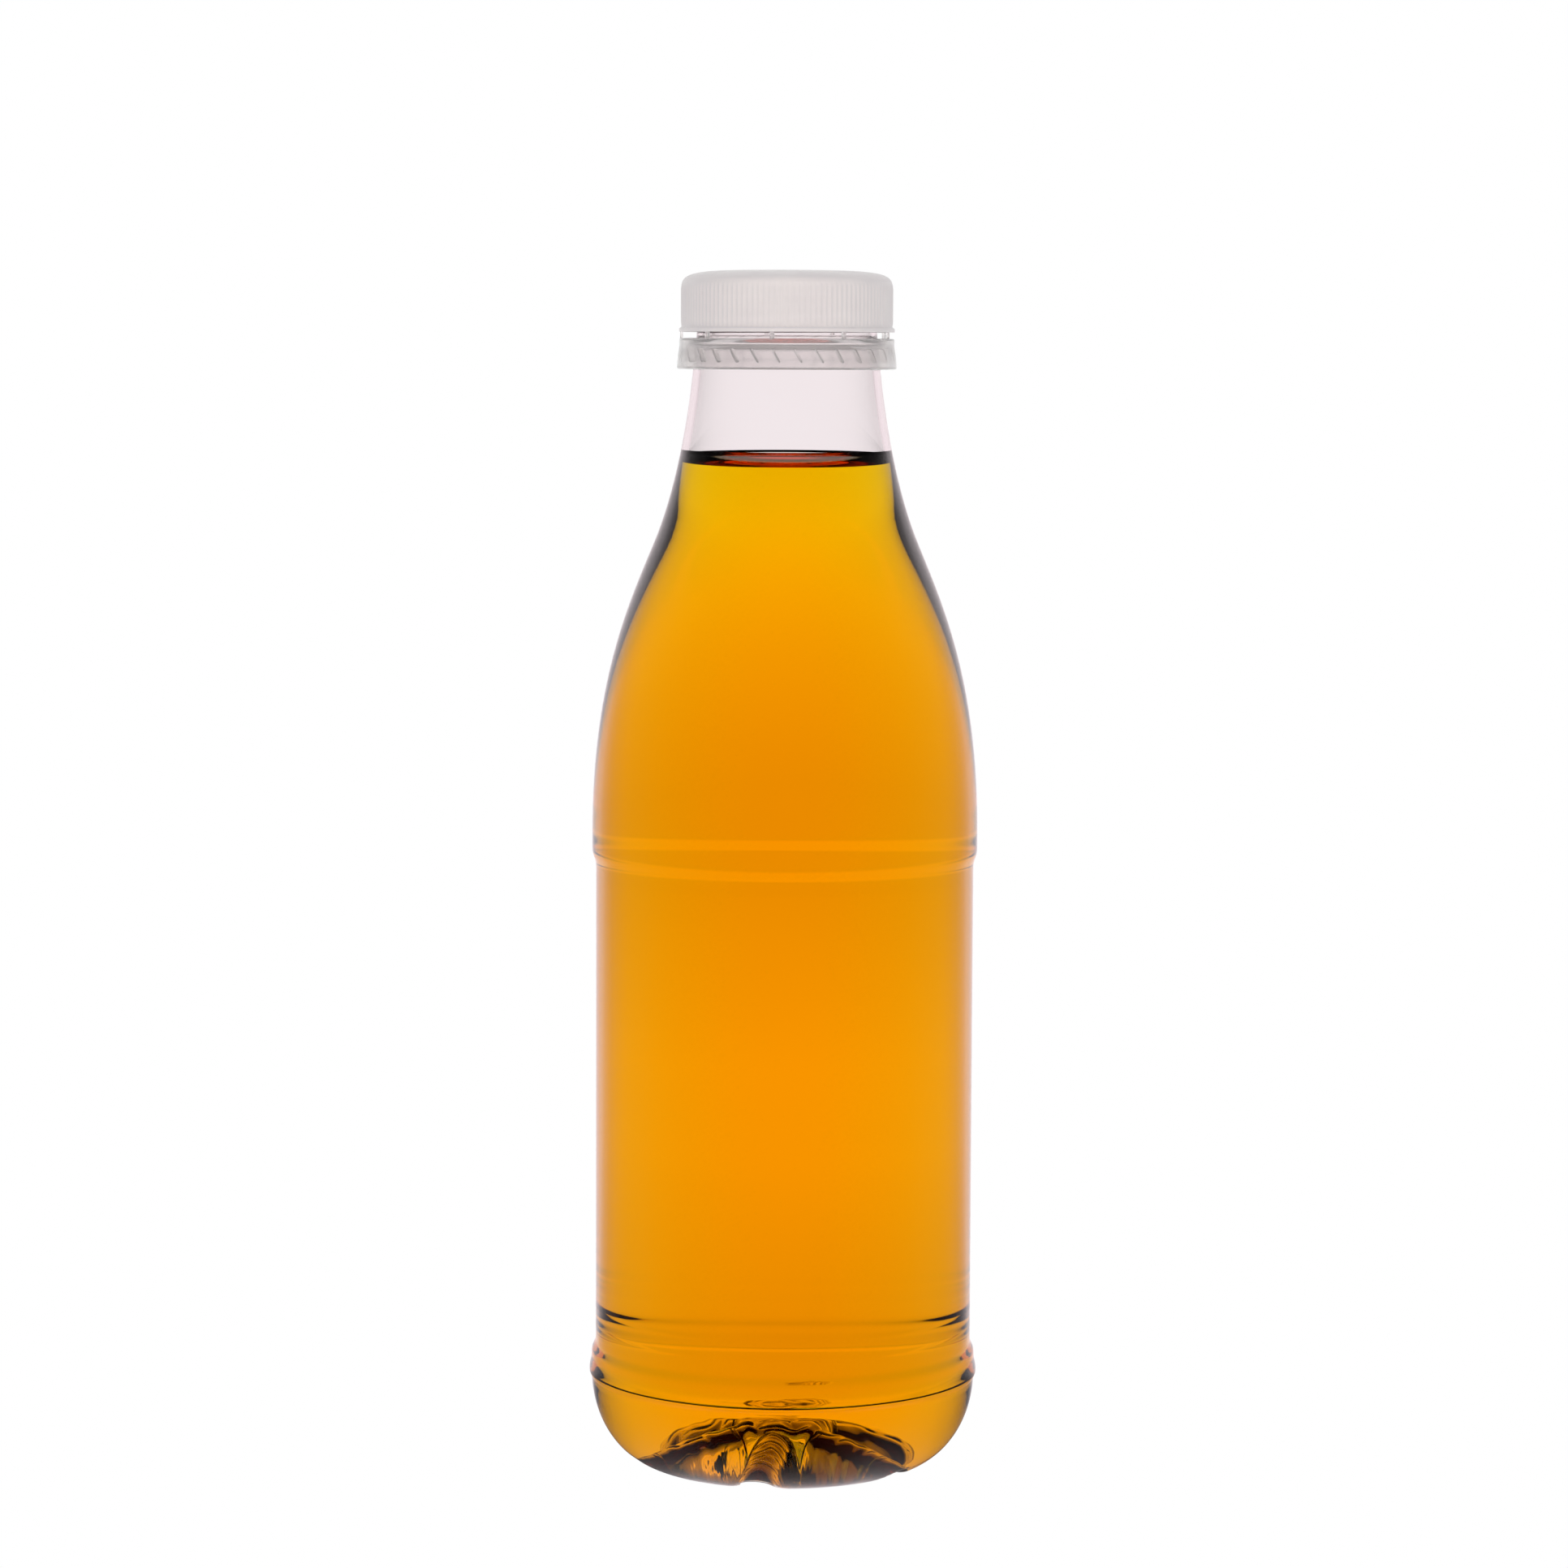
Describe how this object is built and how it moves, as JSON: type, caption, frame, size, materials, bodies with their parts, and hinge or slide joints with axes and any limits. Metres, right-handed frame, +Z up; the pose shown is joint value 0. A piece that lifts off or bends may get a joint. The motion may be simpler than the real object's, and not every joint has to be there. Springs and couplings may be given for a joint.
{
  "type": "juice bottle",
  "caption": "Slender clear bottle full of amber juice, with a smooth shoulder, a recessed label panel, a grooved base and a ribbed translucent screw cap with its tamper band.",
  "frame": {"origin": "on the bottle's axis at the level of its standing pads, the middle of the bounding box's bottom", "axes": "+Z up along the bottle's axis through the cap, -Y towards the front"},
  "size_m": [0.076, 0.076, 0.2327],
  "materials": {
    "clear_plastic": "clear and glossy",
    "amber_juice": "clear liquid",
    "translucent_plastic": "milky and satin"
  },
  "bodies": {
    "root": {"bottle": "clear_plastic", "juice": "amber_juice", "screw_cap": "translucent_plastic"}
  },
  "joints": []
}
